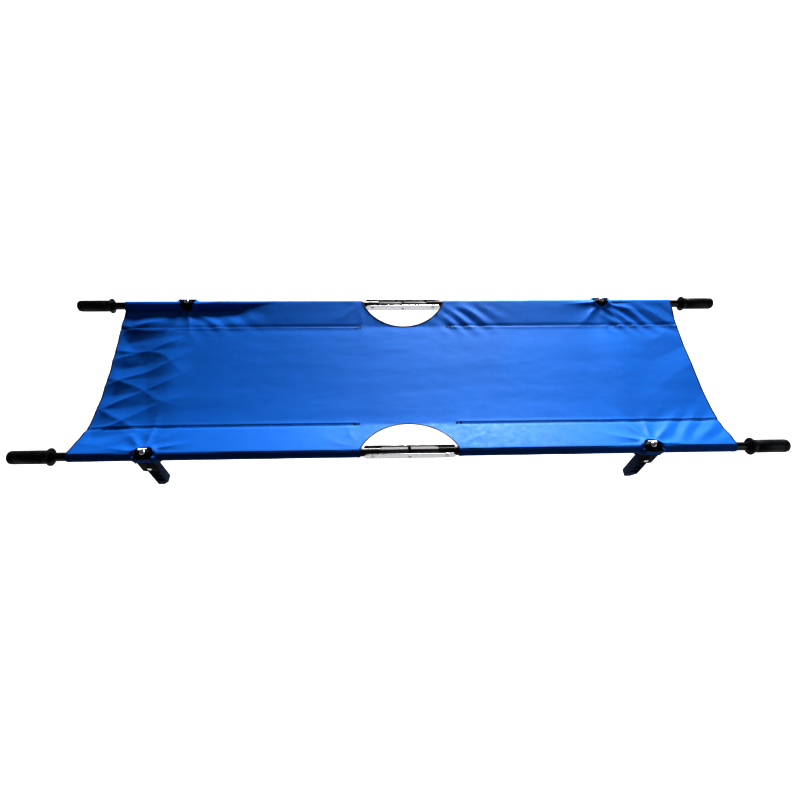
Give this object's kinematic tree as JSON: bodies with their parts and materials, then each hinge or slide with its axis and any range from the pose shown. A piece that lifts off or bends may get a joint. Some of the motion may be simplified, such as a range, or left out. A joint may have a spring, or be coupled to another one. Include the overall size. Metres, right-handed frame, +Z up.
{
  "type": "folding stretcher",
  "caption": "Carrying stretcher on four fixed feet: two poles jointed at mid length, folding cross spreaders, rubber grips and a sewn fabric bed with hand cut-outs at the joints.",
  "frame": {"origin": "on the floor, midway between the poles and midway between the grips' ends", "axes": "+X along the poles towards the right half, +Y from the front pole to the rear pole, +Z up"},
  "size_m": [2.2, 0.63, 0.1863],
  "materials": {
    "tube": "black satin tube",
    "dark_steel": "black satin",
    "steel": "zinc plated",
    "chrome": "polished",
    "plastic": "moulded, fine grain",
    "rubber": "satin moulded rubber",
    "fabric": "coated plain weave, blue"
  },
  "bodies": {
    "front_left": {"front_left_tube": "tube", "front_left_tongue": "dark_steel", "front_left_grip": "rubber", "front_left_bracket": "plastic", "front_left_dome_bolt": "chrome", "front_left_foot": "plastic", "front_left_foot_bolt": "steel", "front_left_sleeve": "fabric", "front_left_spreader_pin": "chrome", "bed_left": "fabric"},
    "front_link": {"front_outer_plate": "steel", "front_inner_plate": "steel", "front_left_pivot_pin": "chrome", "front_right_pivot_pin": "chrome", "front_stop_bolt": "chrome", "front_stop_sleeve": "dark_steel", "bed_middle": "fabric"},
    "front_right": {"front_right_tube": "tube", "front_right_tongue": "dark_steel", "front_right_grip": "rubber", "front_right_bracket": "plastic", "front_right_dome_bolt": "chrome", "front_right_foot": "plastic", "front_right_foot_bolt": "steel", "front_right_sleeve": "fabric", "front_right_spreader_pin": "chrome", "bed_right": "fabric"},
    "left_spreader_front": {"left_front_spreader_bar": "steel", "left_knee_rivet": "chrome"},
    "left_spreader_rear": {"left_rear_spreader_bar": "steel"},
    "rear_left": {"rear_left_tube": "tube", "rear_left_tongue": "dark_steel", "rear_left_grip": "rubber", "rear_left_bracket": "plastic", "rear_left_dome_bolt": "chrome", "rear_left_foot": "plastic", "rear_left_foot_bolt": "steel", "rear_left_sleeve": "fabric", "rear_left_spreader_pin": "chrome"},
    "rear_link": {"rear_outer_plate": "steel", "rear_inner_plate": "steel", "rear_left_pivot_pin": "chrome", "rear_right_pivot_pin": "chrome", "rear_stop_bolt": "chrome", "rear_stop_sleeve": "dark_steel"},
    "rear_right": {"rear_right_tube": "tube", "rear_right_tongue": "dark_steel", "rear_right_grip": "rubber", "rear_right_bracket": "plastic", "rear_right_dome_bolt": "chrome", "rear_right_foot": "plastic", "rear_right_foot_bolt": "steel", "rear_right_sleeve": "fabric", "rear_right_spreader_pin": "chrome"},
    "right_spreader_front": {"right_front_spreader_bar": "steel", "right_knee_rivet": "chrome"},
    "right_spreader_rear": {"right_rear_spreader_bar": "steel"}
  },
  "joints": [
    {"name": "fold", "type": "hinge", "parent": "front_left", "child": "front_link", "pos_m": [-0.105, -0.29, 0.16], "axis": [0, 1, 0], "range_deg": [0, 90]},
    {"name": "front_right_fold", "type": "hinge", "parent": "front_link", "child": "front_right", "pos_m": [0.105, -0.29, 0.16], "axis": [0, 1, 0], "range_deg": [0, 90]},
    {"name": "width_fold", "type": "hinge", "parent": "front_left", "child": "left_spreader_front", "pos_m": [-0.735, -0.26, 0.16], "axis": [0, 0, 1], "range_deg": [0, 82], "deforming": ["bed_left", "bed_middle", "bed_right"]},
    {"name": "left_knee", "type": "hinge", "parent": "left_spreader_front", "child": "left_spreader_rear", "pos_m": [-0.735, 0, 0.16], "axis": [0, 0, 1], "range_deg": [-164, 0]},
    {"name": "rear_left_swing", "type": "hinge", "parent": "left_spreader_rear", "child": "rear_left", "pos_m": [-0.735, 0.26, 0.16], "axis": [0, 0, 1], "range_deg": [0, 82]},
    {"name": "rear_link_fold", "type": "hinge", "parent": "rear_left", "child": "rear_link", "pos_m": [-0.105, 0.29, 0.16], "axis": [0, 1, 0], "range_deg": [0, 90]},
    {"name": "rear_right_fold", "type": "hinge", "parent": "rear_link", "child": "rear_right", "pos_m": [0.105, 0.29, 0.16], "axis": [0, 1, 0], "range_deg": [0, 90]},
    {"name": "right_spreader_swing", "type": "hinge", "parent": "front_right", "child": "right_spreader_front", "pos_m": [0.695, -0.26, 0.16], "axis": [0, 0, 1], "range_deg": [-82, 0]},
    {"name": "right_knee", "type": "hinge", "parent": "right_spreader_front", "child": "right_spreader_rear", "pos_m": [0.695, 0, 0.16], "axis": [0, 0, 1], "range_deg": [0, 164]}
  ],
  "couplings": [
    {"joint": "front_right_fold", "follows": "fold", "ratio": 1},
    {"joint": "rear_link_fold", "follows": "fold", "ratio": 1},
    {"joint": "rear_right_fold", "follows": "fold", "ratio": 1},
    {"joint": "left_knee", "follows": "width_fold", "ratio": -2},
    {"joint": "rear_left_swing", "follows": "width_fold", "ratio": 1},
    {"joint": "right_spreader_swing", "follows": "width_fold", "ratio": -1},
    {"joint": "right_knee", "follows": "width_fold", "ratio": 2}
  ]
}
